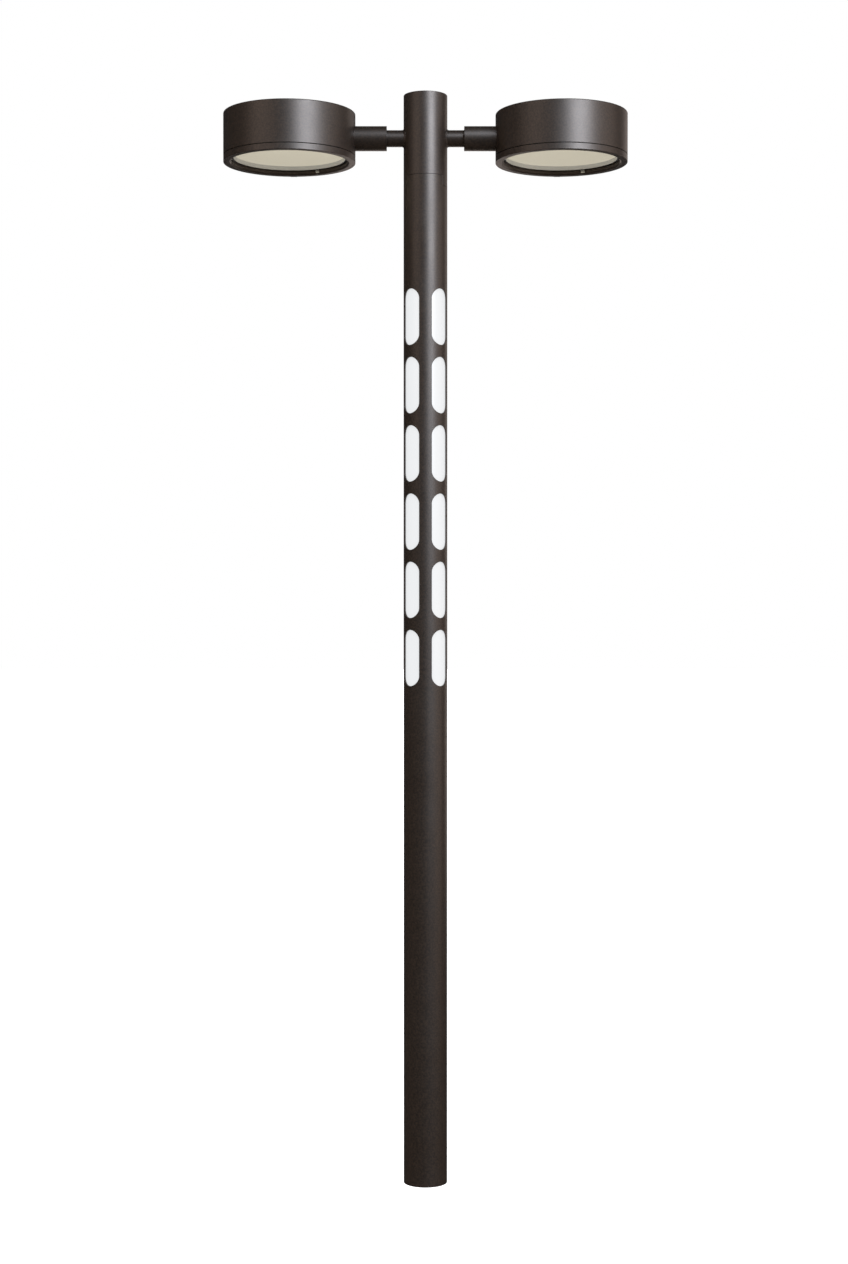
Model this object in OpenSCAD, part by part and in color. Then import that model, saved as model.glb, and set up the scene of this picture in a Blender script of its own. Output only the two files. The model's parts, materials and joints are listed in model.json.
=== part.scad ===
// Twin-headed pedestrian lighting column: a round shaft with lit slots, a hub with a cross arm,
// and two drum lanterns that tilt on the arm and open on a rear hinge.
// Millimetres, +Z up. The origin is the centre of the anchor bolts, at ground level.
// The arms lie along X, and the access cover faces +Y.

/* [Column] */
// Height from the ground to the top of the hub
column_h = 3965; // [3600:5:5000]
// Outside diameter of the shaft and of the hub
pole_d = 159; // [150:1:200]
// Wall of the shaft and of the hub
pole_wall = 5; // [4:0.5:8]
// Radius on the top outer edge of the hub
top_edge_r = 3; // [1:0.5:4]

/* [Light slots] */
// Rows of slots, one above the other
slot_rows = 6; // [1:1:7]
// Columns of slots around the shaft
slot_columns = 4; // [2:1:4]
// Distance from one row to the next
slot_pitch = 247; // [230:1:270]
// Height of a slot, end to end
slot_l = 204; // [120:1:215]
// Width of a slot
slot_w = 75; // [40:1:80]
// From the top of the hub down to the middle of the first row
first_slot_drop = 810; // [760:5:900]

/* [Hub] */
// From the top of the hub down to the seam with the shaft
hub_h = 298; // [260:1:360]
// Width of the shadow gap between hub and shaft
seam_gap = 1.2; // [0.5:0.1:3]
// How far each side tongue of the hub drops below the seam
tongue_drop = 37; // [20:1:60]
// Width of a tongue, across the column
tongue_w = 96; // [60:1:110]
// Thickness of the cap plate
cap_t = 5; // [3:0.5:8]

/* [Cross arm] */
// Outside diameter of the arm tube
arm_d = 60.3; // [48:0.1:73]
// Wall of the arm tube
arm_wall = 4; // [3:0.5:5]
// From the top of the hub down to the arm's axis
arm_drop = 156; // [120:1:200]
// Outside diameter of the collar that turns on the arm
collar_d = 88.9; // [86:0.1:96]
// Distance from the column's axis to the collar's inner end
collar_start = 141; // [120:1:160]
// Leg of the weld between arm and hub
weld_leg = 5; // [3:0.5:8]

/* [Lantern] */
// Distance from the column's axis to the lantern's centre
reach = 495; // [480:5:700]
// Outside diameter of the lantern
head_d = 480; // [440:5:600]
// Height of the lantern with its bezel
head_h = 177.5; // [170:0.5:240]
// Wall of the lantern housing
head_wall = 4; // [3:0.5:6]
// Height of the bezel
bezel_h = 21.8; // [21:0.1:30]
// Shadow gap between the bezel and the housing
bezel_gap = 2.6; // [0.8:0.1:4]
// Width of the bezel, from its outside to the lens opening
bezel_w = 28; // [26:1:40]
// From the bezel's bottom face up to the glass
lens_recess = 12; // [8:0.5:12]
// Thickness of the glass
lens_t = 4; // [3:0.5:4]
// Tilt of a lantern to each side
tilt_max = 45; // [15:5:60]

/* [Access cover] */
// Height of the middle of the opening above the ground
cover_z = 700; // [500:10:900]
// Height of the opening
cover_l = 300; // [260:5:400]
// Width of the opening
cover_w = 85; // [75:1:95]

/* [Anchor base] */
// Bolt circle of the anchor bolts
anchor_pcd = 100; // [96:1:104]
// Diameter of the anchor bolt holes
anchor_hole_d = 14; // [10:0.5:16]
// Diameter of the cable way through the base
cable_way_d = 50; // [30:1:60]
// Thickness of the base plate
base_t = 20; // [12:1:30]
// Height of the base with its ring
base_h = 130; // [110:5:200]

/* [Hidden] */
$fn = 96;
// Clearance between pieces that are fixed together
fit = 0.3;
// Radial clearance of a turning pin or shaft in its bore
run = 0.08;
// Radial clearance of a pin held in a hole
snug = 0.05;
// Cutting tools run past the faces that they cut by this much
past = 1;

BRONZE = [0.26, 0.23, 0.21];
STEEL = [0.68, 0.68, 0.70];
ALLOY = [0.78, 0.78, 0.80];
BLACK = [0.10, 0.10, 0.11];
WHITE = [0.95, 0.95, 0.96];
CREAM = [0.80, 0.77, 0.69];
GLASS = [0.85, 0.90, 0.92, 0.35];
BOARD = [0.20, 0.45, 0.30];

// Column
pole_r = pole_d / 2;
bore_r = pole_r - pole_wall;
inner_r = bore_r - fit;
seam_z = column_h - hub_h;
tongue_corner_r = 6;
tongue_z = seam_z - tongue_drop;

// Slots, from the top row down, in columns that lie between the arms
slot_top_z = column_h - first_slot_drop;
slot_low_z = slot_top_z - (slot_rows - 1) * slot_pitch;
first_slot_angle = -135;
slot_angles = [for (i = [0 : slot_columns - 1]) first_slot_angle + 360 / slot_columns * i];

// Light insert inside the shaft
light_margin = 40;
plate_t = 8;
plate_plug_h = 16;
plate_collar_t = 5;
diffuser_gap = 1;
diffuser_wall = 3;
diffuser_r = bore_r - diffuser_gap;
light_z0 = slot_low_z - slot_l / 2 - light_margin;
light_z1 = slot_top_z + slot_l / 2 + light_margin;
stop_ring_t = 15;
stop_ring_w = 14;
mast_w = 40;
mast_wall = 3;
strip_w = 24;
strip_t = 1.6;
chip_w = 5;
chip_t = 0.8;
chips_per_slot = 6;
strip_end = 10;

// Cables: the supply, the lead of the light insert and the one to each lantern
cable_d = 8;
lead_d = 5;
lead_reach = 60;
head_cable_d = 7;
head_cable_x = 8;
head_bend_r = 4 * head_cable_d;
cable_hole_d = 14;
lead_r = mast_w / 2 + fit + strip_t + chip_t + lead_d / 2 + fit;

// Access opening, behind its cover
cover_gap = 1;
frame_lip = 12;
frame_t = 6;
window_edge = 8;
gasket_t = 1.3;
gasket_w = 7;
tab_w = 24;
tab_y = bore_r - fit - gasket_t - fit;
tab_t = 12;
stud_r = 4;
stud_x = cover_w / 2 - 12;
stud_z = -cover_l / 2 + 4;
stud_y0 = tab_y - 30;
stud_y1 = tab_y - 9;
cover_screw_z = cover_l / 2 - 22;
cover_screw_r = 3;
cover_head_r = 6;
cover_head_h = 3;
cover_key = 4;
cover_key_depth = 2;

// Backboard, opposite the opening, and what it carries
cable_clear = 4;
driver_w = 50;
driver_depth = 33.7;
driver_l = 200;
driver_slot_w = 6;
driver_slot_l = 8;
backboard_t = 10;
backboard_l = 360;
board_front_y = -(cable_d / 2 + cable_clear + driver_depth);
board_back_y = board_front_y - backboard_t;
board_edge = 13;
board_half_w = sqrt(pow(inner_r, 2) - pow(board_back_y, 2)) - board_edge;
board_hole_r = 4;
board_hole_inset = 10;
cutout_w = 60;
cutout_l = 110;
cutout_front_y = 10;
cutout_z = cover_z - cover_l / 2 - 10;
carrier_w = 18;
carrier_l = 60;
carrier_z = 40;
carrier_depth = 6;
carrier_groove = 3;
entry_d = 16;
entry_depth = 19;
driver_z = cutout_z + cutout_l + 20;
backboard_z = cutout_z - 20;
bracket_h = 24;
bracket_inset = 30;
bracket_leg = 8;
bracket_web = 5;

// Anchor base
ring_wall = 11;
base_screw_r = 5;
base_screw_l = 16;
base_screw_rows = [45, 105];
base_screw_angles = [0, 90, 180];
base_key = 5;
base_key_depth = 4;

// Hub
spigot_wall = 8;
spigot_down = 127;
spigot_up = 83;
hub_screw_r = 4;
hub_screw_l = 18;
hub_head_r = 7.5;
hub_head_h = 4;
hub_key = 5;
hub_key_depth = 3;
hub_screw_z = seam_z - tongue_drop / 2;
hub_screw_angles = [0, 180];
cap_inset = 2;
cap_gasket_t = 2;
ledge_w = 10;
ledge_h = 10;
cap_z = column_h - cap_inset - cap_t;
ledge_z = cap_z - fit - cap_gasket_t - fit;
cap_screw_r = 2.5;
cap_screw_l = 14;
cap_head_r = 4.4;
cap_head_h = 2.3;
cap_key = 3;
cap_key_depth = 1.4;
cap_screw_circle = bore_r - ledge_w / 2 - 1;
cap_screw_angles = [30, 150, 270];

// Arm
arm_r = arm_d / 2;
arm_z = column_h - arm_drop;
collar_r = collar_d / 2;
wire_hole_d = 36;
splitter_w = 36;
splitter_h = 28;
bar_t = 6;
bar_w = 30;
bar_z = seam_z + 56;
plug_r = arm_r - arm_wall - fit;
plug_l = 12;
plug_flange_r = arm_r + 8;
plug_flange_t = 4;
stop_pin_r = 3;
stop_pin_h = 4.3;
stop_pin_sink = 2;
stop_groove_r = arm_r + stop_pin_h + 1.2;
stop_groove_bite = 2;
stop_play = 0.5;
collar_screw_r = 4;
collar_screw_at = [16, 41];
collar_key = 4;
collar_key_depth = 4;
weld_gap = 0.15;
weld_steps = 64;
weld_arc = 4;
weld_angles = [for (i = [0 : weld_steps - 1]) 360 / weld_steps * i];

// Lantern
head_r = head_d / 2;
head_z0 = arm_z - head_h / 2;
head_z1 = arm_z + head_h / 2;
bezel_z1 = head_z0 + bezel_h;
housing_z0 = bezel_z1 + bezel_gap;
wall_x = reach - head_r + head_wall;
boss_t = 13;
boss_half = 56;
boss_x = wall_x + boss_t;
nut_t = 10;
nut_r = collar_r + 6.5;
nut_slot_w = 6;
nut_slot_depth = 3;
arm_end_x = wall_x + 41;
stop_x = arm_end_x - 55;
rim_w = 10;
rim_t = 6;
edge_r = 3;

// Bezel, glass and seals
opening_r = head_r - bezel_w;
bezel_chamfer = 5;
bezel_edge = 1;
ledge_r = opening_r - 8;
lens_r = opening_r - 2 * fit;
lens_z = head_z0 + lens_recess;
lens_gasket_t = 2;
lens_ledge_z = lens_recess + lens_t + fit + lens_gasket_t + fit;
groove_out = head_r - 4.5;
groove_in = groove_out - 5;
groove_z = 14;
clip_angles = [64, 184, 304];
clip_w = 14;
clip_t = 1.2;
clip_reach = 7;
clip_leg = 7;
bezel_screw_angles = [250, 290];
bezel_screw_circle = head_r - 13.5;
bezel_screw_r = 2.5;
bezel_head_r = 5;
bezel_head_h = 3;
bezel_key = 3;
bezel_key_depth = 2;
bezel_screw_l = 30;
screw_boss_r = 5.5;
screw_boss_h = 16;

// Rear hinge of the bezel
hinge_y = head_r + 11;
hinge_z = bezel_z1 + bezel_gap / 2;
hinge_r = 6;
hinge_pin_r = 3;
hinge_half = 30;
pin_proud = 0.5;
knuckle_half = 11.7;
lug_bite = 6;
lug_inset = 3;
ear_h = 18;
ear_root_z = 4;

// Optics
panel_gap = 15;
panel_t = 3;
panel_r = ledge_r - 2.3;
panel_z = lens_z + lens_t + panel_gap;
skirt_t = 1.5;
skirt_r = panel_r + fit;
flange_r = head_r - 21;
board_r = 92;
board_disc_t = 2;
board_z = arm_z - 8;
sheet_t = 1.5;
post_r = 5;
post_circle = flange_r - 7;
post_angles = [30, 150, 210, 330];
post_z = panel_z + panel_t + fit + sheet_t + fit;
post_screw_r = 1.5;
post_screw_l = 16;
post_head_r = 3;
post_head_h = 2.2;
cone_edge = 4;
chip_rings = 3;
chip_ring_pitch = 26;
lead_hole_d = 10;
sink_r = 105;
sink_t = 8;
sink_z = board_z + board_disc_t + fit;
fin_t = 2.4;
fin_count = 24;
fin_start = 24;
fin_inset = 2;
sink_top_z = head_z1 - head_wall - 44;
sink_boss_r = 7;
sink_boss_circle = 85;
sink_boss_angles = [45, 165, 285];
gear_w = 60;
gear_l = 140;
gear_h = 40;
gear_x = arm_end_x + 22;
gear_z = arm_z - 12;
gear_post_y = 50;
notch_x = 8;
notch_l = 10;
notch_h = 12;

// ---------------------------------------------------------------- shared shapes

// A flat shape with parallel sides and round ends, long in Y
module obround(w, l) {
    square([w, l - w], center = true);
    for (s = [-1, 1]) translate([0, s * (l - w) / 2]) circle(d = w);
}

// An obround bar that stands in the XZ plane and reaches from y0 to y1
module obround_bar(w, l, y0, y1) {
    translate([0, y1, 0]) rotate([90, 0, 0]) linear_extrude(y1 - y0) obround(w, l);
}

module ring(r_out, r_in, z0, z1) {
    difference() {
        translate([0, 0, z0]) cylinder(r = r_out, h = z1 - z0);
        translate([0, 0, z0 - past]) cylinder(r = r_in, h = z1 - z0 + 2 * past);
    }
}

// A cylinder along X, from x0 to x1
module x_rod(r, x0, x1) {
    translate([min(x0, x1), 0, 0]) rotate([0, 90, 0]) cylinder(r = r, h = abs(x1 - x0));
}

// A cylinder along Y, from y0 to y1
module y_rod(r, y0, y1) {
    translate([0, y0, 0]) rotate([-90, 0, 0]) cylinder(r = r, h = y1 - y0);
}

// A screw along +X: a flat head that ends at x = x_head, and a shank that points to -X
module x_screw(r, l, head_r, head_h, x_head) {
    x_rod(head_r, x_head - head_h, x_head);
    x_rod(r, x_head - l, x_head - head_h);
}

// A screw that points up from z = 0, with its head at the bottom
module up_screw(r, l, head_r, head_h) {
    cylinder(r = head_r, h = head_h);
    cylinder(r = r, h = l);
}

// Puts a shape that is drawn for the +X side on the side asked for
module on_side(side) {
    if (side > 0) children();
    else mirror([1, 0, 0]) children();
}

// The cutter of a hexagon socket, which sinks to z = -depth from a face at z = 0
module key_socket(across, depth) {
    translate([0, 0, -depth]) cylinder(r = across / sqrt(3), h = depth + past, $fn = 6);
}

// ---------------------------------------------------------------- column

// The outline of a hub tongue, seen along the arm: Y across, Z up from the seam
module tongue_outline(grow) {
    w = tongue_w + 2 * grow;
    drop = tongue_drop + grow;
    r = tongue_corner_r;
    translate([-w / 2, -drop + r]) square([w, drop + past]);
    translate([-w / 2 + r, -drop]) square([w - 2 * r, r + past]);
    for (s = [-1, 1]) translate([s * (w / 2 - r), -drop + r]) circle(r = r);
}

// Both tongues as bars along X that run through the column
module tongue_bars(grow) {
    translate([-pole_d, 0, seam_z]) rotate([90, 0, 90])
        linear_extrude(2 * pole_d) tongue_outline(grow);
}

module pole_shaft() {
    color(BRONZE) difference() {
        cylinder(r = pole_r, h = seam_z - seam_gap / 2);
        translate([0, 0, -past]) cylinder(r = bore_r, h = seam_z + 2 * past);
        tongue_bars(seam_gap);
        for (a = slot_angles, i = [0 : slot_rows - 1])
            translate([0, 0, slot_top_z - i * slot_pitch]) rotate([0, 0, a - 90])
                obround_bar(slot_w, slot_l, bore_r / 2, pole_d);
        translate([0, 0, cover_z]) obround_bar(cover_w, cover_l, bore_r / 2, pole_d);
        for (a = base_screw_angles, z = base_screw_rows)
            rotate([0, 0, a]) translate([0, 0, z])
                x_rod(base_screw_r + fit, bore_r / 2, pole_d);
    }
}

module anchor_base() {
    color(STEEL) difference() {
        union() {
            cylinder(r = inner_r, h = base_t);
            ring(inner_r, inner_r - ring_wall, base_t - past, base_h);
        }
        translate([0, 0, -past]) cylinder(d = cable_way_d, h = base_t + 2 * past);
        for (a = [45 : 90 : 315]) rotate([0, 0, a]) translate([anchor_pcd / 2, 0, -past])
            cylinder(d = anchor_hole_d, h = base_t + 2 * past);
        for (a = base_screw_angles, z = base_screw_rows)
            rotate([0, 0, a]) translate([0, 0, z])
                x_rod(base_screw_r + fit, inner_r - ring_wall - past, pole_d);
    }
}

module base_set_screws() {
    color(STEEL) for (a = base_screw_angles, z = base_screw_rows)
        rotate([0, 0, a]) translate([0, 0, z]) difference() {
            x_rod(base_screw_r, pole_r - base_screw_l, pole_r - fit);
            translate([pole_r - fit, 0, 0]) rotate([0, 90, 0]) key_socket(base_key, base_key_depth);
        }
}

// ---------------------------------------------------------------- access opening

module handhole_frame() {
    window_w = cover_w - 2 * window_edge;
    window_l = cover_l - 2 * window_edge;
    tab_l = cover_l / 2 - cover_screw_z + tab_w / 2;
    color(STEEL) translate([0, 0, cover_z]) difference() {
        union() {
            difference() {
                intersection() {
                    ring(inner_r, inner_r - frame_t, -cover_l, cover_l);
                    obround_bar(cover_w + 2 * frame_lip, cover_l + 2 * frame_lip, 0, pole_r);
                }
                obround_bar(window_w, window_l, 0, pole_r);
            }
            // Tabs that take the cover's screws
            for (s = [0, 1]) mirror([0, 0, s])
                translate([-tab_w / 2, tab_y - tab_t, cover_screw_z - tab_w / 2])
                    cube([tab_w, tab_t - past, tab_l]);
            // Earth stud
            translate([stud_x, 0, stud_z]) y_rod(stud_r, stud_y0, stud_y1);
        }
        // Seat of the gasket, inside the opening
        intersection() {
            ring(pole_r, tab_y, -cover_l, cover_l);
            obround_bar(cover_w, cover_l, 0, pole_r);
        }
        for (s = [-1, 1]) translate([0, 0, s * cover_screw_z]) y_rod(cover_screw_r + fit, 0, pole_r);
    }
}

module handhole_cover() {
    color(BRONZE) translate([0, 0, cover_z]) difference() {
        intersection() {
            ring(pole_r, bore_r, -cover_l, cover_l);
            obround_bar(cover_w - 2 * cover_gap, cover_l - 2 * cover_gap, 0, pole_d);
        }
        for (s = [-1, 1]) translate([0, 0, s * cover_screw_z]) {
            y_rod(cover_screw_r + fit, 0, pole_d);
            y_rod(cover_head_r + fit, pole_r - cover_head_h - fit, pole_d);
        }
    }
}

module cover_gasket() {
    color(BLACK) translate([0, 0, cover_z]) difference() {
        intersection() {
            ring(inner_r, inner_r - gasket_t, -cover_l, cover_l);
            obround_bar(cover_w - 2 * cover_gap, cover_l - 2 * cover_gap, 0, pole_d);
        }
        obround_bar(cover_w - 2 * gasket_w, cover_l - 2 * gasket_w, 0, pole_d);
    }
}

module cover_screws() {
    color(STEEL) for (s = [-1, 1]) translate([0, 0, cover_z + s * cover_screw_z])
        difference() {
            union() {
                y_rod(cover_head_r, pole_r - cover_head_h, pole_r - fit);
                y_rod(cover_screw_r, tab_y - tab_t, pole_r - cover_head_h);
            }
            translate([0, pole_r - fit, 0]) rotate([-90, 0, 0]) key_socket(cover_key, cover_key_depth);
        }
}

// ---------------------------------------------------------------- gear in the shaft

module backboard() {
    color(BLACK) difference() {
        translate([-board_half_w, board_back_y, backboard_z])
            cube([2 * board_half_w, backboard_t, backboard_l]);
        for (z = [board_hole_inset, backboard_l - board_hole_inset])
            translate([0, 0, backboard_z + z])
                y_rod(board_hole_r, board_back_y - past, board_front_y + past);
    }
}

// Two saddles between the board and the wall of the shaft
module backboard_brackets() {
    depth = pole_r + board_back_y - fit;
    gap = 2 * (board_half_w - bracket_leg);
    color(STEEL) for (z = [bracket_inset, backboard_l - bracket_inset - bracket_h])
        translate([0, 0, backboard_z + z]) intersection() {
            cylinder(r = inner_r, h = bracket_h);
            difference() {
                translate([-board_half_w, -pole_r, 0]) cube([2 * board_half_w, depth, bracket_h]);
                translate([-gap / 2, -pole_r, -past])
                    cube([gap, depth - bracket_web, bracket_h + 2 * past]);
            }
        }
}

module fuse_cutout() {
    depth = cutout_front_y - board_front_y - fit;
    color(BLACK) translate([-cutout_w / 2, board_front_y + fit, cutout_z]) difference() {
        cube([cutout_w, depth, cutout_l]);
        // Recesses around the two fuse carriers, and the cable entries below
        for (x = [cutout_w / 4, cutout_w * 3 / 4]) {
            translate([x - carrier_w / 2, depth - carrier_depth, carrier_z]) difference() {
                cube([carrier_w, carrier_depth + past, carrier_l]);
                translate([carrier_groove, -past, carrier_groove])
                    cube([carrier_w - 2 * carrier_groove, carrier_depth + 3 * past,
                        carrier_l - 2 * carrier_groove]);
            }
            translate([x, depth / 2, -past]) cylinder(d = entry_d, h = entry_depth + past);
        }
    }
}

module shaft_driver() {
    color(WHITE) translate([-driver_w / 2, board_front_y + fit, driver_z])
        difference() {
            cube([driver_w, driver_depth - fit, driver_l]);
            // Fixing slots at each end
            for (x = [driver_slot_w, driver_w - 2 * driver_slot_w], z = [-past, driver_l - driver_slot_l])
                translate([x, -past, z])
                    cube([driver_slot_w, driver_depth + 2 * past, driver_slot_l + past]);
        }
}

// ---------------------------------------------------------------- light insert

module diffuser_stop_ring() {
    color(STEEL) ring(inner_r, inner_r - stop_ring_w,
        light_z0 - plate_t - 2 * fit - stop_ring_t, light_z0 - plate_t - 2 * fit);
}

// One end plate: a disc, a collar inside the diffuser and a plug inside the mast, all pointing up
module mast_end_plate() {
    difference() {
        union() {
            cylinder(r = inner_r, h = plate_t);
            translate([0, 0, plate_t]) ring(diffuser_r - diffuser_wall - fit,
                diffuser_r - diffuser_wall - plate_collar_t, -past, plate_plug_h);
            rotate([0, 0, 45]) translate([0, 0, plate_t + plate_plug_h / 2])
                cube([mast_w - 2 * mast_wall - 2 * fit, mast_w - 2 * mast_wall - 2 * fit,
                    plate_plug_h + past], center = true);
        }
        translate([0, 0, -past]) cylinder(d = cable_hole_d, h = plate_t + plate_plug_h + 3 * past);
        rotate([0, 0, -45]) translate([lead_r, 0, -past])
            cylinder(r = lead_d / 2 + fit, h = plate_t + 2 * past);
    }
}

module mast_end_plates() {
    color(ALLOY) {
        translate([0, 0, light_z0 - plate_t - fit]) mast_end_plate();
        translate([0, 0, light_z1 + plate_t + fit]) mirror([0, 0, 1]) mast_end_plate();
    }
}

module diffuser_tube() {
    color(WHITE) ring(diffuser_r, diffuser_r - diffuser_wall, light_z0, light_z1);
}

module led_mast() {
    color(ALLOY) translate([0, 0, light_z0]) rotate([0, 0, 45]) linear_extrude(light_z1 - light_z0)
        difference() {
            square(mast_w, center = true);
            square(mast_w - 2 * mast_wall, center = true);
        }
}

// One board on each flat of the mast, with a row of chips opposite each slot
module led_strips() {
    first_chip = slot_l / 2 - 2 * chip_w;
    chip_step = 2 * first_chip / (chips_per_slot - 1);
    color(BOARD) for (a = slot_angles) rotate([0, 0, a]) {
        translate([mast_w / 2 + fit, -strip_w / 2, light_z0 + plate_plug_h + strip_end])
            cube([strip_t, strip_w, light_z1 - light_z0 - 2 * (plate_plug_h + strip_end)]);
        for (i = [0 : slot_rows - 1]) for (k = [0 : chips_per_slot - 1])
            translate([mast_w / 2 + fit + strip_t - past / 2, -chip_w / 2,
                slot_top_z - i * slot_pitch - first_chip + k * chip_step - chip_w / 2])
                cube([chip_t + past / 2, chip_w, chip_w]);
    }
}

// ---------------------------------------------------------------- cables

// A head cable leaves the splitter upwards, bends through a quarter circle and follows the arm
module head_cable(side) {
    z0 = bar_z + bar_t + splitter_h + 2 * fit;
    on_side(side) {
        translate([head_cable_x, 0, z0]) cylinder(d = head_cable_d, h = arm_z - head_bend_r - z0);
        translate([head_cable_x + head_bend_r, 0, arm_z - head_bend_r]) rotate([90, 0, 180])
            rotate_extrude(angle = 90) translate([head_bend_r, 0]) circle(d = head_cable_d);
        translate([0, 0, arm_z]) x_rod(head_cable_d / 2, head_cable_x + head_bend_r, gear_x - fit);
    }
}

module power_cables() {
    color(BLACK) {
        translate([0, 0, cutout_z + cutout_l + fit])
            cylinder(d = cable_d, h = bar_z + bar_t - cutout_z - cutout_l - fit);
        rotate([0, 0, -45]) translate([lead_r, 0, driver_z + driver_l + fit])
            cylinder(d = lead_d, h = light_z0 + lead_reach - driver_z - driver_l);
        for (side = [-1, 1]) head_cable(side);
    }
}

// ---------------------------------------------------------------- hub

module hub_body() {
    color(BRONZE) difference() {
        union() {
            // Wall with a rounded top edge
            rotate_extrude() translate([bore_r, 0]) {
                translate([0, seam_z + seam_gap / 2])
                    square([pole_wall, hub_h - seam_gap / 2 - top_edge_r]);
                translate([0, column_h - 2 * top_edge_r]) square([pole_wall - top_edge_r, 2 * top_edge_r]);
                translate([pole_wall - top_edge_r, column_h - top_edge_r]) circle(r = top_edge_r);
            }
            // Ledge that carries the cap
            ring(bore_r + past, bore_r - ledge_w, ledge_z - ledge_h, ledge_z);
            // Side tongues
            intersection() {
                ring(pole_r, bore_r, tongue_z, seam_z + seam_gap);
                tongue_bars(0);
            }
        }
        // The bore runs straight up past the rounded edge
        translate([0, 0, ledge_z]) cylinder(r = bore_r, h = hub_h);
        translate([0, 0, arm_z]) x_rod(arm_r + snug, -pole_d, pole_d);
        for (a = hub_screw_angles) rotate([0, 0, a]) translate([0, 0, hub_screw_z]) {
            x_rod(hub_screw_r + fit, 0, pole_d);
            x_rod(hub_head_r + fit, pole_r - hub_head_h - fit, pole_d);
        }
        for (a = cap_screw_angles) rotate([0, 0, a])
            translate([cap_screw_circle, 0, ledge_z - ledge_h - past])
                cylinder(r = cap_screw_r + fit, h = ledge_h + 2 * past);
    }
}

module hub_spigot() {
    color(STEEL) difference() {
        ring(inner_r, inner_r - spigot_wall, seam_z - spigot_down, seam_z + spigot_up);
        for (a = hub_screw_angles) rotate([0, 0, a]) translate([0, 0, hub_screw_z])
            x_rod(hub_screw_r + fit, 0, pole_d);
    }
}

module hub_fixing_screws() {
    color(STEEL) for (a = hub_screw_angles) rotate([0, 0, a]) translate([0, 0, hub_screw_z])
        difference() {
            x_screw(hub_screw_r, hub_screw_l, hub_head_r, hub_head_h, pole_r - fit);
            translate([pole_r - fit, 0, 0]) rotate([0, 90, 0]) key_socket(hub_key, hub_key_depth);
        }
}

module hub_cap() {
    color(BRONZE) difference() {
        translate([0, 0, cap_z]) cylinder(r = inner_r, h = cap_t);
        for (a = cap_screw_angles) rotate([0, 0, a]) translate([cap_screw_circle, 0, 0]) {
            translate([0, 0, cap_z - past]) cylinder(r = cap_screw_r + fit, h = cap_t + 2 * past);
            translate([0, 0, cap_z + cap_t - cap_head_h - fit])
                cylinder(r = cap_head_r + fit, h = cap_head_h + fit + past);
        }
    }
}

module hub_cap_gasket() {
    color(BLACK) difference() {
        ring(inner_r, bore_r - ledge_w, ledge_z + fit, ledge_z + fit + cap_gasket_t);
        for (a = cap_screw_angles) rotate([0, 0, a]) translate([cap_screw_circle, 0, ledge_z])
            cylinder(r = cap_screw_r + fit, h = cap_gasket_t + 2 * past);
    }
}

module hub_cap_screws() {
    color(STEEL) for (a = cap_screw_angles) rotate([0, 0, a])
        translate([cap_screw_circle, 0, cap_z + cap_t]) mirror([0, 0, 1]) difference() {
            up_screw(cap_screw_r, cap_screw_l, cap_head_r, cap_head_h);
            mirror([0, 0, 1]) key_socket(cap_key, cap_key_depth);
        }
}

// Terminal block on a bar across the spigot, where one cable becomes two
module hub_splitter() {
    color(WHITE) translate([-splitter_w / 2, -splitter_w / 2, bar_z + bar_t + fit])
        cube([splitter_w, splitter_w, splitter_h]);
    color(STEEL) difference() {
        intersection() {
            translate([-pole_r, -bar_w / 2, bar_z]) cube([pole_d, bar_w, bar_t]);
            cylinder(r = inner_r - spigot_wall - fit, h = column_h);
        }
        translate([0, 0, bar_z - past]) cylinder(d = cable_d + 2 * fit, h = bar_t + 2 * past);
    }
}

// ---------------------------------------------------------------- cross arm

module cross_arm() {
    color(BRONZE) translate([0, 0, arm_z]) difference() {
        x_rod(arm_r, -arm_end_x, arm_end_x);
        x_rod(arm_r - arm_wall, -arm_end_x - past, arm_end_x + past);
        translate([0, 0, -arm_d]) cylinder(d = wire_hole_d, h = arm_d);
        for (x = [-stop_x, stop_x]) translate([x, 0, 0])
            cylinder(r = stop_pin_r + snug, h = arm_d);
    }
}

// A point of the joint between arm and round hub: u runs out along the arm, v runs out over the hub
function weld_point(a, u, v) =
    let (r = arm_r + weld_gap + v, y = r * cos(a), z = r * sin(a))
    [sqrt(pow(pole_r + weld_gap, 2) - y * y) + u, y, z];

// Weld around the arm: a concave fillet swept along the joint
module arm_weld() {
    arc = [for (k = [0 : weld_arc]) 90 * k / weld_arc];
    profile = concat([[0, 0]], [for (t = arc) weld_leg * [1 - sin(t), 1 - cos(t)]]);
    n = len(profile);
    points = [for (a = weld_angles, p = profile) weld_point(a, p[0], p[1])];
    faces = [for (i = [0 : weld_steps - 1], k = [0 : n - 1])
        let (i2 = (i + 1) % weld_steps, k2 = (k + 1) % n)
        [i * n + k, i * n + k2, i2 * n + k2, i2 * n + k]];
    polyhedron(points, faces);
}

module arm_welds() {
    color(BRONZE) translate([0, 0, arm_z]) {
        arm_weld();
        mirror([1, 0, 0]) arm_weld();
    }
}

// A plug in each end of the arm, whose flange keeps the collar on
module arm_end_plugs() {
    color(STEEL) translate([0, 0, arm_z]) for (side = [0, 1]) mirror([side, 0, 0])
        difference() {
            union() {
                x_rod(plug_flange_r, arm_end_x + fit, arm_end_x + fit + plug_flange_t);
                x_rod(plug_r, arm_end_x - plug_l, arm_end_x + fit + past);
            }
            x_rod(head_cable_d / 2 + fit, arm_end_x - plug_l - past, arm_end_x + plug_flange_t + 2 * past);
        }
}

module arm_stop_pins() {
    color(STEEL) for (x = [-stop_x, stop_x])
        translate([x, 0, arm_z + arm_r - arm_wall - stop_pin_sink])
            cylinder(r = stop_pin_r, h = arm_wall + stop_pin_sink + stop_pin_h);
}

// ---------------------------------------------------------------- lantern, drawn for +X

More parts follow.
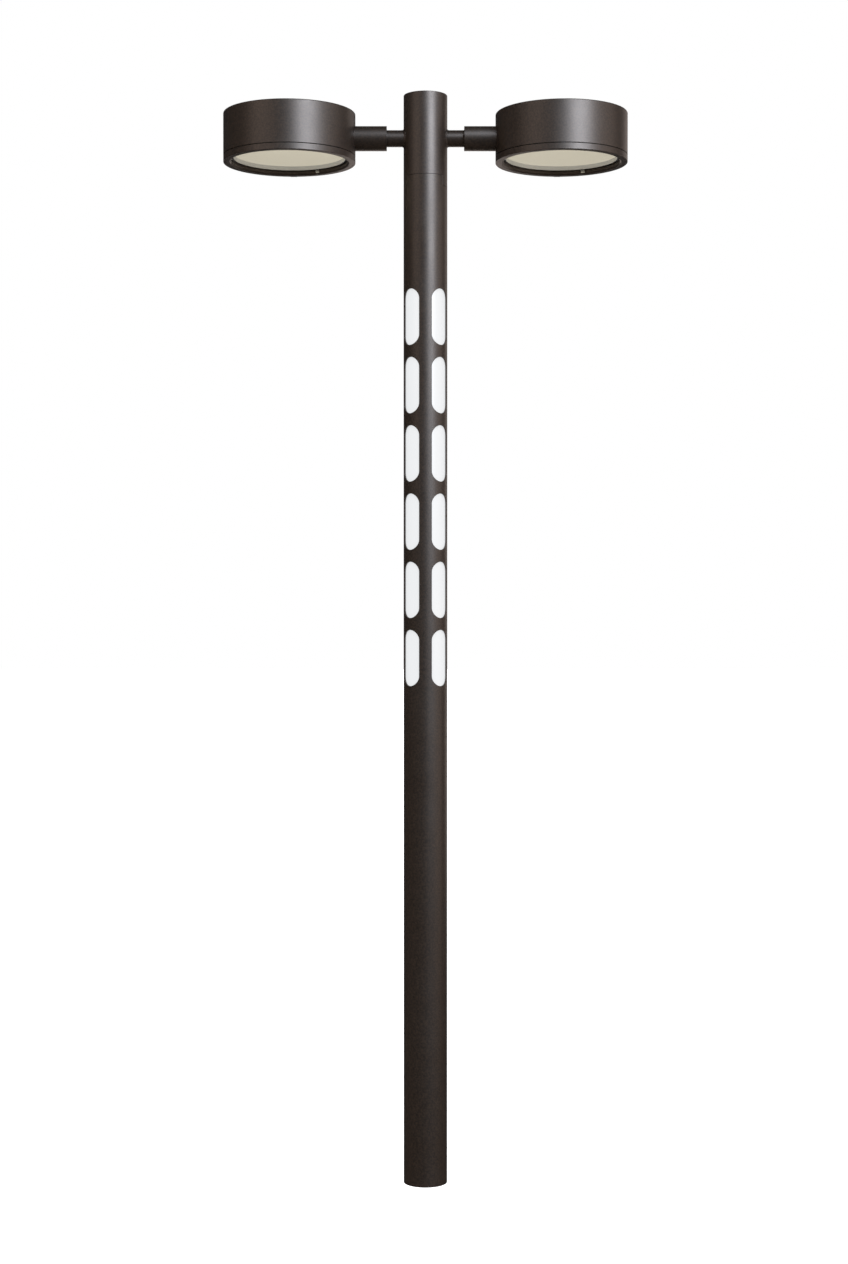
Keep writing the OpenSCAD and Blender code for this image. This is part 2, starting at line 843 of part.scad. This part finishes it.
// Puts a shape that is drawn about the lantern's own axis at its place
module at_head(side) {
    translate([side * reach, 0, 0]) children();
}

module housing(side) {
    color(BRONZE) difference() {
        union() {
            at_head(side) {
                difference() {
                    // Drum with a rounded top edge
                    rotate_extrude() {
                        translate([0, housing_z0]) square([head_r, head_z1 - edge_r - housing_z0]);
                        translate([0, head_z1 - 2 * edge_r]) square([head_r - edge_r, 2 * edge_r]);
                        translate([head_r - edge_r, head_z1 - edge_r]) circle(r = edge_r);
                    }
                    translate([0, 0, housing_z0 - past])
                        cylinder(r = head_r - head_wall, h = head_z1 - head_wall - housing_z0 + past);
                }
                // Rim that meets the bezel's seal
                ring(head_r - past, head_r - head_wall - rim_w, housing_z0, housing_z0 + rim_t);
                // Bosses for the bezel's screws
                for (a = bezel_screw_angles) rotate([0, 0, a])
                    translate([bezel_screw_circle, 0, housing_z0])
                        cylinder(r = screw_boss_r, h = screw_boss_h);
                // Posts for the reflector
                for (a = post_angles) rotate([0, 0, a]) translate([post_circle, 0, post_z])
                    cylinder(r = post_r, h = head_z1 - head_wall / 2 - post_z);
                // Posts for the heat sink
                for (a = sink_boss_angles) rotate([0, 0, a])
                    translate([sink_boss_circle, 0, sink_top_z + fit])
                        cylinder(r = sink_boss_r, h = head_z1 - head_wall / 2 - sink_top_z - fit);
                // Ears of the rear hinge
                hinge_ears();
            }
            // Flat boss for the collar, and posts for the driver
            on_side(side) {
                intersection() {
                    translate([wall_x - head_wall / 2, -boss_half, arm_z - boss_half])
                        cube([boss_t + head_wall / 2, 2 * boss_half, 2 * boss_half]);
                    translate([reach, 0, 0]) cylinder(r = head_r - head_wall / 2, h = column_h);
                }
                for (s = [-1, 1]) translate([gear_x + gear_w / 2, s * gear_post_y, gear_z + gear_h + fit])
                    cylinder(r = post_r, h = head_z1 - head_wall / 2 - gear_z - gear_h - fit);
            }
        }
        on_side(side) translate([0, 0, arm_z])
            x_rod(collar_r + fit, wall_x - 2 * head_wall, boss_x + past);
        at_head(side) {
            for (a = bezel_screw_angles) rotate([0, 0, a])
                translate([bezel_screw_circle, 0, housing_z0 - past])
                    cylinder(r = bezel_screw_r + fit, h = screw_boss_h);
            for (a = post_angles) rotate([0, 0, a]) translate([post_circle, 0, post_z - past])
                cylinder(r = post_screw_r + fit, h = post_screw_l);
            translate([0, hinge_y, hinge_z])
                x_rod(hinge_pin_r + snug, -hinge_half - past, hinge_half + past);
        }
    }
}

// Two ears above and beside the bezel's knuckle, joined to the drum's wall
module hinge_ears() {
    ear_w = hinge_half - knuckle_half - fit;
    for (s = [-1, 1]) difference() {
        translate([s > 0 ? knuckle_half + fit : -hinge_half, 0, 0]) {
            translate([0, hinge_y, hinge_z]) x_rod(hinge_r, 0, ear_w);
            translate([0, hinge_y - hinge_r, hinge_z]) cube([ear_w, 2 * hinge_r, ear_h]);
            translate([0, head_r - lug_bite, hinge_z + ear_root_z])
                cube([ear_w, hinge_y - head_r + lug_bite + hinge_r, ear_h - ear_root_z]);
        }
        cylinder(r = head_r - head_wall / 2, h = column_h);
    }
}

module collar(side) {
    color(BRONZE) on_side(side) translate([0, 0, arm_z]) difference() {
        x_rod(collar_r, collar_start, arm_end_x);
        x_rod(arm_r + run, collar_start - past, arm_end_x + past);
        for (x = collar_screw_at) translate([collar_start + x, 0, 0])
            y_rod(collar_screw_r + fit, 0, collar_d);
        // Groove around the top, in which the arm's stop pin runs
        stop_half = tilt_max + asin((stop_pin_r + stop_play) / arm_r);
        translate([stop_x + stop_pin_r + fit, 0, 0]) rotate([0, -90, 0])
            rotate([0, 0, -stop_half]) rotate_extrude(angle = 2 * stop_half)
                translate([arm_r - stop_groove_bite, 0])
                    square([stop_groove_r - arm_r + stop_groove_bite, 2 * (stop_pin_r + fit)]);
    }
}

// Round nut with four spanner slots
module lock_nut(side) {
    color(STEEL) on_side(side) translate([0, 0, arm_z]) difference() {
        x_rod(nut_r, boss_x + fit, boss_x + fit + nut_t);
        x_rod(collar_r + snug, boss_x, boss_x + nut_t + past);
        for (a = [45 : 90 : 315]) rotate([a, 0, 0])
            translate([boss_x, -nut_slot_w / 2, nut_r - nut_slot_depth])
                cube([nut_t + past, nut_slot_w, nut_slot_depth + past]);
    }
}

// Set screws of the collar, at its rear, and the screws of the reflector
module head_screws(side) {
    color(STEEL) {
        on_side(side) for (x = collar_screw_at) translate([collar_start + x, 0, arm_z]) difference() {
            y_rod(collar_screw_r, arm_r + run + fit, collar_r - fit);
            translate([0, collar_r - fit, 0]) rotate([-90, 0, 0])
                key_socket(collar_key, collar_key_depth);
        }
        at_head(side) for (a = post_angles) rotate([0, 0, a])
            translate([post_circle, 0, post_z - sheet_t - 2 * fit - post_head_h])
                up_screw(post_screw_r, post_screw_l, post_head_r, post_head_h);
    }
}

module hinge_pin(side) {
    color(STEEL) at_head(side) translate([0, hinge_y, hinge_z])
        x_rod(hinge_pin_r, -hinge_half - pin_proud, hinge_half + pin_proud);
}

module heat_sink(side) {
    color(ALLOY) at_head(side) {
        difference() {
            union() {
                translate([0, 0, sink_z]) cylinder(r = sink_r, h = sink_t);
                for (i = [0 : fin_count - 1]) rotate([0, 0, 360 / fin_count * i])
                    translate([fin_start, -fin_t / 2, sink_z])
                        cube([sink_r - fin_inset - fin_start, fin_t, sink_top_z - sink_z]);
                for (a = sink_boss_angles) rotate([0, 0, a]) translate([sink_boss_circle, 0, sink_z])
                    cylinder(r = sink_boss_r, h = sink_top_z - sink_z);
            }
            translate([0, 0, sink_z - past]) cylinder(d = lead_hole_d, h = sink_t + 2 * past);
        }
    }
}

// Board with rings of chips on its underside
module led_board(side) {
    color(BOARD) at_head(side) {
        difference() {
            translate([0, 0, board_z]) cylinder(r = board_r, h = board_disc_t);
            translate([0, 0, board_z - past]) cylinder(d = lead_hole_d, h = board_disc_t + 2 * past);
        }
        for (k = [1 : chip_rings], i = [0 : 6 * k - 1])
            rotate([0, 0, 360 / (6 * k) * i])
                translate([chip_ring_pitch * k - chip_w / 2, -chip_w / 2, board_z - chip_t])
                    cube([chip_w, chip_w, chip_t + past]);
    }
}

// Spun sheet: a skirt down to the glass, a flange under the posts and a cone up to the board
module reflector(side) {
    low = lens_z + lens_t + fit;
    seat = panel_z + panel_t + fit;
    top = board_z - fit;
    top_r = board_r - cone_edge;
    cone_r = panel_r - cone_edge;
    color(ALLOY) at_head(side) difference() {
        rotate_extrude() polygon([
            [skirt_r, low], [skirt_r + skirt_t, low], [skirt_r + skirt_t, seat],
            [flange_r, seat], [flange_r, seat + sheet_t], [cone_r + sheet_t, seat + sheet_t],
            [top_r + sheet_t, top], [top_r, top], [cone_r, seat], [skirt_r, seat]
        ]);
        for (a = post_angles) rotate([0, 0, a]) translate([post_circle, 0, seat - past])
            cylinder(r = post_screw_r + fit, h = sheet_t + 2 * past);
    }
}

module diffuser_panel(side) {
    color(CREAM) at_head(side) translate([0, 0, panel_z]) cylinder(r = panel_r, h = panel_t);
}

// Driver box with end terminals, hung between its posts and the cone
module driver(side) {
    color(WHITE) on_side(side) translate([gear_x, -gear_l / 2, gear_z]) difference() {
        cube([gear_w, gear_l, gear_h]);
        for (y = [-past, gear_l - notch_l]) translate([notch_x, y, gear_h - notch_h])
            cube([gear_w - 2 * notch_x, notch_l + past, notch_h + past]);
    }
}

// ---------------------------------------------------------------- bezel and glass

module bezel(side) {
    color(BRONZE) at_head(side) difference() {
        union() {
            translate([0, 0, head_z0]) rotate_extrude() polygon([
                [opening_r + bezel_chamfer, 0], [head_r - bezel_edge, 0], [head_r, bezel_edge],
                [head_r, bezel_h],
                [groove_out, bezel_h], [groove_out, groove_z], [groove_in, groove_z],
                [groove_in, bezel_h], [ledge_r, bezel_h], [ledge_r, lens_ledge_z],
                [opening_r, lens_ledge_z], [opening_r, bezel_chamfer]
            ]);
            // Knuckle of the rear hinge on its lug
            difference() {
                translate([-knuckle_half, 0, 0]) {
                    translate([0, hinge_y, hinge_z]) x_rod(hinge_r, 0, 2 * knuckle_half);
                    translate([0, hinge_y - hinge_r, head_z0 + lug_inset])
                        cube([2 * knuckle_half, 2 * hinge_r, hinge_z - head_z0 - lug_inset]);
                    translate([0, head_r - lug_bite, head_z0 + lug_inset])
                        cube([2 * knuckle_half, hinge_y - head_r + lug_bite, bezel_h - 2 * lug_inset]);
                }
                cylinder(r = groove_out + fit, h = column_h);
            }
        }
        for (a = bezel_screw_angles) rotate([0, 0, a]) translate([bezel_screw_circle, 0, head_z0]) {
            translate([0, 0, -past]) cylinder(r = bezel_screw_r + fit, h = bezel_h + 2 * past);
            translate([0, 0, -past]) cylinder(r = bezel_head_r + fit, h = bezel_head_h + fit + past);
        }
        translate([0, hinge_y, hinge_z]) x_rod(hinge_pin_r + snug, -hinge_half, hinge_half);
    }
}

module bezel_gasket(side) {
    color(BLACK) at_head(side) ring(groove_out - fit, groove_in + fit,
        head_z0 + groove_z + fit, housing_z0 - fit);
}

module bezel_screws(side) {
    color(BLACK) at_head(side) for (a = bezel_screw_angles) rotate([0, 0, a])
        translate([bezel_screw_circle, 0, head_z0 + fit]) difference() {
            up_screw(bezel_screw_r, bezel_screw_l, bezel_head_r, bezel_head_h);
            mirror([0, 0, 1]) key_socket(bezel_key, bezel_key_depth);
        }
}

module lens(side) {
    color(GLASS) at_head(side) translate([0, 0, lens_z]) cylinder(r = lens_r, h = lens_t);
}

module lens_gasket(side) {
    color(BLACK) at_head(side) ring(lens_r, ledge_r + fit,
        lens_z + lens_t + fit, lens_z + lens_t + fit + lens_gasket_t);
}

// Bent strips on the inside of the bezel, under the edge of the glass
module lens_clips(side) {
    color(STEEL) at_head(side) for (a = clip_angles) rotate([0, 0, a]) {
        intersection() {
            translate([opening_r - clip_reach, -clip_w / 2, lens_z - fit - clip_t])
                cube([clip_reach, clip_w, clip_t]);
            cylinder(r = opening_r - fit, h = column_h);
        }
        translate([0, 0, lens_z - fit - clip_leg]) intersection() {
            ring(opening_r - fit, opening_r - fit - clip_t, 0, clip_leg - clip_t + snug);
            translate([0, -clip_w / 2, 0]) cube([opening_r, clip_w, clip_leg]);
        }
    }
}

// ---------------------------------------------------------------- what is drawn

pole_shaft();
anchor_base();
base_set_screws();
handhole_frame();
handhole_cover();
cover_gasket();
cover_screws();
backboard();
backboard_brackets();
fuse_cutout();
shaft_driver();
diffuser_stop_ring();
mast_end_plates();
diffuser_tube();
led_mast();
led_strips();
power_cables();
hub_body();
hub_spigot();
hub_fixing_screws();
hub_cap();
hub_cap_gasket();
hub_cap_screws();
hub_splitter();
cross_arm();
arm_welds();
arm_end_plugs();
arm_stop_pins();
housing(-1);  // left_housing
collar(-1);  // left_collar
lock_nut(-1);  // left_lock_nut
head_screws(-1);  // left_head_screws
hinge_pin(-1);  // left_hinge_pin
heat_sink(-1);  // left_heat_sink
led_board(-1);  // left_led_board
reflector(-1);  // left_reflector
diffuser_panel(-1);  // left_diffuser_panel
driver(-1);  // left_driver
bezel(-1);  // left_bezel
bezel_gasket(-1);  // left_bezel_gasket
bezel_screws(-1);  // left_bezel_screws
lens(-1);  // left_lens
lens_gasket(-1);  // left_lens_gasket
lens_clips(-1);  // left_lens_clips
housing(1);  // right_housing
collar(1);  // right_collar
lock_nut(1);  // right_lock_nut
head_screws(1);  // right_head_screws
hinge_pin(1);  // right_hinge_pin
heat_sink(1);  // right_heat_sink
led_board(1);  // right_led_board
reflector(1);  // right_reflector
diffuser_panel(1);  // right_diffuser_panel
driver(1);  // right_driver
bezel(1);  // right_bezel
bezel_gasket(1);  // right_bezel_gasket
bezel_screws(1);  // right_bezel_screws
lens(1);  // right_lens
lens_gasket(1);  // right_lens_gasket
lens_clips(1);  // right_lens_clips
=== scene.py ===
"""Looks for the twin-headed lighting column: materials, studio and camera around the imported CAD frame.

Everything is in metres, +Z up, with the front of the object towards -Y.
"""
import json
import math

import bpy
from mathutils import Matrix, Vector

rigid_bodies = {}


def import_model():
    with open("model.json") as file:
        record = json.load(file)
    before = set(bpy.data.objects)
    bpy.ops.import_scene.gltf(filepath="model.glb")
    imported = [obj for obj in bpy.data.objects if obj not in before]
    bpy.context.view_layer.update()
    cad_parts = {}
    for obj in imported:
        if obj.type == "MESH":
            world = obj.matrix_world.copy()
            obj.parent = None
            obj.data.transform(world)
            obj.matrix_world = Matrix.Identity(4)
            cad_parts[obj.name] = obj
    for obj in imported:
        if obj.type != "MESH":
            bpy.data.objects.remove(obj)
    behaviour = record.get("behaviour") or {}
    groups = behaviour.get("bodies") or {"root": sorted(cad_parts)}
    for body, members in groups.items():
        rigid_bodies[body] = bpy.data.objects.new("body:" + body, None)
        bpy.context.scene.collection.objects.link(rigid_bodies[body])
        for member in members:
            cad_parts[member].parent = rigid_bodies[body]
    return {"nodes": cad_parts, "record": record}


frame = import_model()
NODES = frame["nodes"]
SLOT_OF = {part["node"]: part["material_slot"] for part in frame["record"]["subparts"]}
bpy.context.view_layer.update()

# ------------------------------------------------------------------ camera

CAMERA_AT = Vector((-0.0053, -7.5326, 2.1123))
CAMERA_PITCH = math.radians(-0.75)
LENS_MM = 58.77
FILM_HEIGHT_MM = 36.0


def add_camera():
    """A camera at the photograph's height and distance, with the film's long side upright."""
    data = bpy.data.cameras.new("camera")
    data.sensor_fit = "VERTICAL"
    data.sensor_height = FILM_HEIGHT_MM
    data.lens = LENS_MM
    data.clip_end = 200.0
    camera = bpy.data.objects.new("camera", data)
    camera.location = CAMERA_AT
    camera.rotation_euler = (math.radians(90) + CAMERA_PITCH, 0.0, 0.0)
    bpy.context.scene.collection.objects.link(camera)
    bpy.context.scene.camera = camera


# ------------------------------------------------------------------ materials


class Shader:
    """A node material under construction: a Principled shader with helpers for its inputs."""

    def __init__(self, name):
        self.material = bpy.data.materials.new(name)
        self.material.use_nodes = True
        self.tree = self.material.node_tree
        self.tree.nodes.clear()
        self.shader = self.add("ShaderNodeBsdfPrincipled")
        self.output = self.add("ShaderNodeOutputMaterial")
        self.link(self.shader.outputs["BSDF"], self.output.inputs["Surface"])
        self.place = self.add("ShaderNodeTexCoord").outputs["Object"]

    def add(self, kind, **settings):
        node = self.tree.nodes.new(kind)
        for key, value in settings.items():
            setattr(node, key, value)
        return node

    def link(self, a, b):
        self.tree.links.new(a, b)

    def set(self, **values):
        """Sets constant shader inputs: an underscore in a name stands for a space."""
        for key, value in values.items():
            self.shader.inputs[key.replace("_", " ")].default_value = value
        return self

    def noise(self, scale, detail=3.0, stretch=(1.0, 1.0, 1.0)):
        """Noise in object space, with a scale in features a metre."""
        mapping = self.add("ShaderNodeMapping")
        mapping.inputs["Scale"].default_value = stretch
        self.link(self.place, mapping.inputs["Vector"])
        noise = self.add("ShaderNodeTexNoise")
        noise.inputs["Scale"].default_value = scale
        noise.inputs["Detail"].default_value = detail
        self.link(mapping.outputs["Vector"], noise.inputs["Vector"])
        return noise.outputs["Fac"]

    def ramp(self, value, low, high, start=0.3, end=0.7):
        """A colour or grey ramp between two stops."""
        ramp = self.add("ShaderNodeValToRGB")
        ramp.color_ramp.elements[0].position = start
        ramp.color_ramp.elements[1].position = end
        for element, colour in zip(ramp.color_ramp.elements, (low, high)):
            element.color = (*colour, 1.0) if len(colour) == 3 else colour
        self.link(value, ramp.inputs["Fac"])
        return ramp.outputs["Color"]

    def colour(self, value, low, high, **stops):
        self.link(self.ramp(value, low, high, **stops), self.shader.inputs["Base Color"])
        return self

    def rough(self, value, low, high, **stops):
        grey = self.ramp(value, (low,) * 3, (high,) * 3, **stops)
        self.link(grey, self.shader.inputs["Roughness"])
        return self

    def bump(self, value, depth, edge=0.0):
        """Bump of a depth in metres, over edges that are rounded by the radius edge."""
        bump = self.add("ShaderNodeBump")
        bump.inputs["Strength"].default_value = 1.0
        bump.inputs["Distance"].default_value = depth
        self.link(value, bump.inputs["Height"])
        if edge:
            bevel = self.add("ShaderNodeBevel", samples=4)
            bevel.inputs["Radius"].default_value = edge
            self.link(bevel.outputs["Normal"], bump.inputs["Normal"])
        self.link(bump.outputs["Normal"], self.shader.inputs["Normal"])
        return self


def shade(colour, factor):
    return tuple(channel * factor for channel in colour)


BRONZE = (0.0245, 0.0141, 0.0082)


def powder_coat(name, colour):
    """Satin powder coat: a fine fleck, orange peel a few millimetres wide, faint cloudiness."""
    s = Shader(name)
    s.colour(s.noise(170.0, 2.0), shade(colour, 0.65), shade(colour, 1.45), start=0.35, end=0.65)
    s.rough(s.noise(9.0, 4.0), 0.40, 0.45)
    s.bump(s.noise(330.0, 3.0), 0.00009, edge=0.0012)
    return s.set(Specular_IOR_Level=0.5, Specular_Tint=(1.0, 0.92, 0.87, 1.0)).material


def brushed_metal(name, colour, roughness, along=(1.0, 1.0, 20.0), metallic=1.0):
    s = Shader(name)
    grain = s.noise(400.0, 3.0, along)
    s.colour(grain, shade(colour, 0.85), shade(colour, 1.1))
    s.rough(grain, roughness - 0.07, roughness + 0.07)
    s.bump(grain, 0.00002, edge=0.0003)
    return s.set(Metallic=metallic).material


def galvanised(name, colour):
    """Hot-dip zinc: crystal patches of differing grey."""
    s = Shader(name)
    cells = s.add("ShaderNodeTexVoronoi")
    cells.inputs["Scale"].default_value = 90.0
    s.link(s.place, cells.inputs["Vector"])
    s.colour(cells.outputs["Color"], shade(colour, 0.8), shade(colour, 1.15), start=0.2, end=0.8)
    s.rough(s.noise(60.0), 0.42, 0.6)
    s.bump(s.noise(220.0), 0.00005, edge=0.0005)
    return s.set(Metallic=0.85).material


def moulded(name, colour, roughness=0.5, depth=0.00003):
    """Moulded plastic with a fine spark-eroded grain."""
    s = Shader(name)
    grain = s.noise(1500.0, 2.0)
    s.colour(s.noise(12.0), shade(colour, 0.94), shade(colour, 1.05))
    s.rough(grain, roughness - 0.05, roughness + 0.05)
    s.bump(grain, depth, edge=0.0005)
    return s.material


def rubber(name, colour):
    s = Shader(name)
    s.colour(s.noise(300.0), shade(colour, 0.7), shade(colour, 1.3))
    s.rough(s.noise(500.0), 0.68, 0.82)
    s.bump(s.noise(900.0), 0.00004, edge=0.0003)
    return s.set(Specular_IOR_Level=0.3).material


def circuit_board(name):
    """White solder mask with a faint weave of the laminate under it."""
    s = Shader(name)
    s.colour(s.noise(800.0, 1.0, (1.0, 1.0, 4.0)), (0.78, 0.79, 0.76), (0.88, 0.89, 0.86))
    s.rough(s.noise(300.0), 0.3, 0.42)
    s.bump(s.noise(1600.0), 0.00001)
    return s.material


def opal(name, colour, glow, glow_colour):
    """Opal acrylic that glows by emission, a little uneven as a row of chips makes it. In the shaft's
    slots the opal is lit from inside; on the heads' cream diffuser the glow is painted light.
    """
    s = Shader(name)
    s.colour(s.noise(6.0), shade(colour, 0.97), colour)
    light = s.ramp(s.noise(5.0, 2.0), shade(glow_colour, 0.985), glow_colour)
    s.link(light, s.shader.inputs["Emission Color"])
    s.rough(s.noise(900.0), 0.32, 0.4)
    s.bump(s.noise(1800.0), 0.00001)
    return s.set(Emission_Strength=glow).material


GLASS_IOR = 1.45


def clear_glass(name):
    """Toughened glass as a pane: what is behind shows unbent, and it mirrors more at a low angle."""
    s = Shader(name)
    s.tree.nodes.remove(s.shader)
    see = s.add("ShaderNodeBsdfTransparent")
    tint = s.ramp(s.noise(4.0), (0.965, 0.97, 0.96), (0.98, 0.985, 0.975))
    s.link(tint, see.inputs["Color"])
    shine = s.add("ShaderNodeBsdfGlossy")
    s.link(s.ramp(s.noise(40.0), (0.0,) * 3, (0.03,) * 3), shine.inputs["Roughness"])
    fresnel = s.add("ShaderNodeFresnel")
    fresnel.inputs["IOR"].default_value = GLASS_IOR
    # Only the side that faces the ray mirrors, so that a ray on its way out isn't turned back
    geometry = s.add("ShaderNodeNewGeometry")
    front = s.add("ShaderNodeMath", operation="SUBTRACT")
    s.link(fresnel.outputs["Fac"], front.inputs[0])
    s.link(geometry.outputs["Backfacing"], front.inputs[1])
    front.use_clamp = True
    mix = s.add("ShaderNodeMixShader")
    s.link(front.outputs["Value"], mix.inputs["Fac"])
    s.link(see.outputs["BSDF"], mix.inputs[1])
    s.link(shine.outputs["BSDF"], mix.inputs[2])
    s.link(mix.outputs["Shader"], s.output.inputs["Surface"])
    return s.material


MATERIALS = {
    "steel_powder_coat": powder_coat("steel_powder_coat", BRONZE),
    "alloy_powder_coat": powder_coat("alloy_powder_coat", BRONZE),
    "galvanised_steel": galvanised("galvanised_steel", (0.42, 0.43, 0.44)),
    "stainless": brushed_metal("stainless", (0.62, 0.61, 0.59), 0.3),
    "black_screw": moulded("black_screw", (0.02, 0.02, 0.02), 0.4),
    "seal_rubber": rubber("seal_rubber", (0.02, 0.02, 0.02)),
    "board_plastic": moulded("board_plastic", (0.04, 0.04, 0.042), 0.6),
    "cutout_plastic": moulded("cutout_plastic", (0.03, 0.03, 0.034), 0.45),
    "terminal_plastic": moulded("terminal_plastic", (0.7, 0.7, 0.66), 0.45),
    "driver_case": moulded("driver_case", (0.75, 0.75, 0.73), 0.4),
    "bare_aluminium": brushed_metal("bare_aluminium", (0.7, 0.7, 0.71), 0.42, metallic=0.6),
    "circuit_board": circuit_board("circuit_board"),
    "opal_acrylic": opal("opal_acrylic", (0.3, 0.3, 0.3), 0.64, (0.955, 0.978, 1.0)),
    # Painted light: the cream diffuser's emission glow stands in for the light falling on the panel
    # under the heads.
    "cream_diffuser": opal("cream_diffuser", (0.3, 0.28, 0.22), 0.66, (1.0, 0.905, 0.73)),
    "clear_glass": clear_glass("clear_glass"),
    "cable_jacket": rubber("cable_jacket", (0.025, 0.025, 0.027)),
}


def dress_nodes():
    """Gives every CAD node the material of its slot."""
    for name, node in NODES.items():
        node.data.materials.clear()
        node.data.materials.append(MATERIALS[SLOT_OF[name]])


# ------------------------------------------------------------------ studio

FLOOR_HALF = 60.0
FLOOR_TOP = -0.0005
WHITE_GLOW = 1.0


def stage_material(name):
    """Plain white that reads as paper white, whatever light falls on it."""
    s = Shader(name)
    s.colour(s.noise(0.4), (0.8, 0.8, 0.8), (0.84, 0.84, 0.84))
    s.rough(s.noise(3.0), 0.85, 0.95)
    return s.set(Emission_Color=(1.0, 1.0, 1.0, 1.0), Emission_Strength=WHITE_GLOW).material


def add_floor():
    mesh = bpy.data.meshes.new("floor")
    signs = ((-1, -1), (1, -1), (1, 1), (-1, 1))
    corners = [(x * FLOOR_HALF, y * FLOOR_HALF, FLOOR_TOP) for x, y in signs]
    mesh.from_pydata(corners, [], [(0, 1, 2, 3)])
    mesh.materials.append(stage_material("floor_paper"))
    floor = bpy.data.objects.new("floor", mesh)
    bpy.context.scene.collection.objects.link(floor)
    floor.visible_diffuse = False
    floor.visible_glossy = False


def add_world(seen, above, below, mirrored):
    """A surround whose strength is seen to the camera and mirrored to gloss.

    To matt surfaces its strength goes evenly from above, overhead, to below, underfoot.
    """
    world = bpy.data.worlds.new("world")
    bpy.context.scene.world = world
    world.cycles.sampling_method = "NONE"
    world.use_nodes = True
    tree = world.node_tree
    tree.nodes.clear()
    rays = tree.nodes.new("ShaderNodeLightPath")
    towards = tree.nodes.new("ShaderNodeTexCoord")
    height = tree.nodes.new("ShaderNodeSeparateXYZ")
    tree.links.new(towards.outputs["Generated"], height.inputs["Vector"])
    soft = tree.nodes.new("ShaderNodeMapRange")
    for name, value in (("From Min", -1.0), ("From Max", 1.0), ("To Min", below), ("To Max", above)):
        soft.inputs[name].default_value = value
    tree.links.new(height.outputs["Z"], soft.inputs["Value"])
    matt = background(tree, above)
    tree.links.new(soft.outputs["Result"], matt.inputs["Strength"])
    light = background(tree, mirrored)
    for ray, other in (("Is Diffuse Ray", matt), ("Is Camera Ray", background(tree, seen))):
        mix = tree.nodes.new("ShaderNodeMixShader")
        tree.links.new(rays.outputs[ray], mix.inputs["Fac"])
        tree.links.new(light.outputs[0], mix.inputs[1])
        tree.links.new(other.outputs[0], mix.inputs[2])
        light = mix
    output = tree.nodes.new("ShaderNodeOutputWorld")
    tree.links.new(light.outputs[0], output.inputs["Surface"])


def background(tree, strength):
    """A white background node of the surround."""
    node = tree.nodes.new("ShaderNodeBackground")
    node.inputs["Color"].default_value = (1.0, 1.0, 1.0, 1.0)
    node.inputs["Strength"].default_value = strength
    return node


def add_softbox(name, azimuth, distance, height, aim, size, glow, colour, seen_by):
    """A rectangular light that faces the column's axis at the height aim.

    Azimuth 0 is the camera's side and 90 the right. glow is its radiance, and seen_by says which
    surfaces it reaches, "gloss" or "matt".
    """
    data = bpy.data.lights.new(name, "AREA")
    data.shape = "RECTANGLE"
    data.size, data.size_y = size
    data.energy = glow * math.pi * size[0] * size[1]
    data.color = colour
    light = bpy.data.objects.new(name, data)
    turn = math.radians(azimuth)
    light.location = (distance * math.sin(turn), -distance * math.cos(turn), height)
    towards = Vector((0.0, 0.0, aim)) - light.location
    light.rotation_euler = towards.to_track_quat("-Z", "Y").to_euler()
    bpy.context.scene.collection.objects.link(light)
    light.visible_camera = False
    light.visible_glossy = seen_by == "gloss"
    light.visible_diffuse = seen_by == "matt"
    return light


# Colours of the lights
COOL = (0.83, 0.9, 1.0)
WARM = (1.0, 0.85, 0.77)


def add_studio():
    add_floor()
    add_world(seen=1.0, above=1.25, below=0.45, mirrored=0.06)
    add_softbox("key", 31.0, 6.0, 8.0, 3.6, (3.2, 3.2), 34.0, COOL, "gloss")
    add_softbox("key_soft", 31.0, 6.0, 8.0, 3.0, (2.8, 3.0), 1.2, COOL, "matt")
    strip = add_softbox("strip", 31.0, 10.0, 6.2, 3.0, (5.0, 3.5), 21.0, COOL, "gloss")
    add_softbox("right", 70.0, 4.5, 3.2, 2.6, (4.5, 6.0), 1.2, WARM, "gloss")
    add_softbox("left", -48.0, 6.0, 5.8, 3.4, (4.4, 4.0), 1.6, WARM, "gloss")
    add_softbox("back", 140.0, 5.0, 3.0, 2.6, (2.2, 5.0), 1.0, WARM, "gloss")
    add_softbox("rear", 180.0, 5.0, 2.6, 2.6, (0.8, 5.0), 2.0, WARM, "gloss")
    # The strip carries the highlight down the shaft, and leaves the lower half of the arm dark.
    upright = bpy.data.collections.new("upright")
    for thing in bpy.context.scene.objects:
        if thing.type == "MESH" and "arm" not in thing.name and "collar" not in thing.name:
            upright.objects.link(thing)
    strip.light_linking.receiver_collection = upright
    bpy.context.scene.view_settings.view_transform = "Standard"


# ------------------------------------------------------------------ build

add_camera()
dress_nodes()
add_studio()
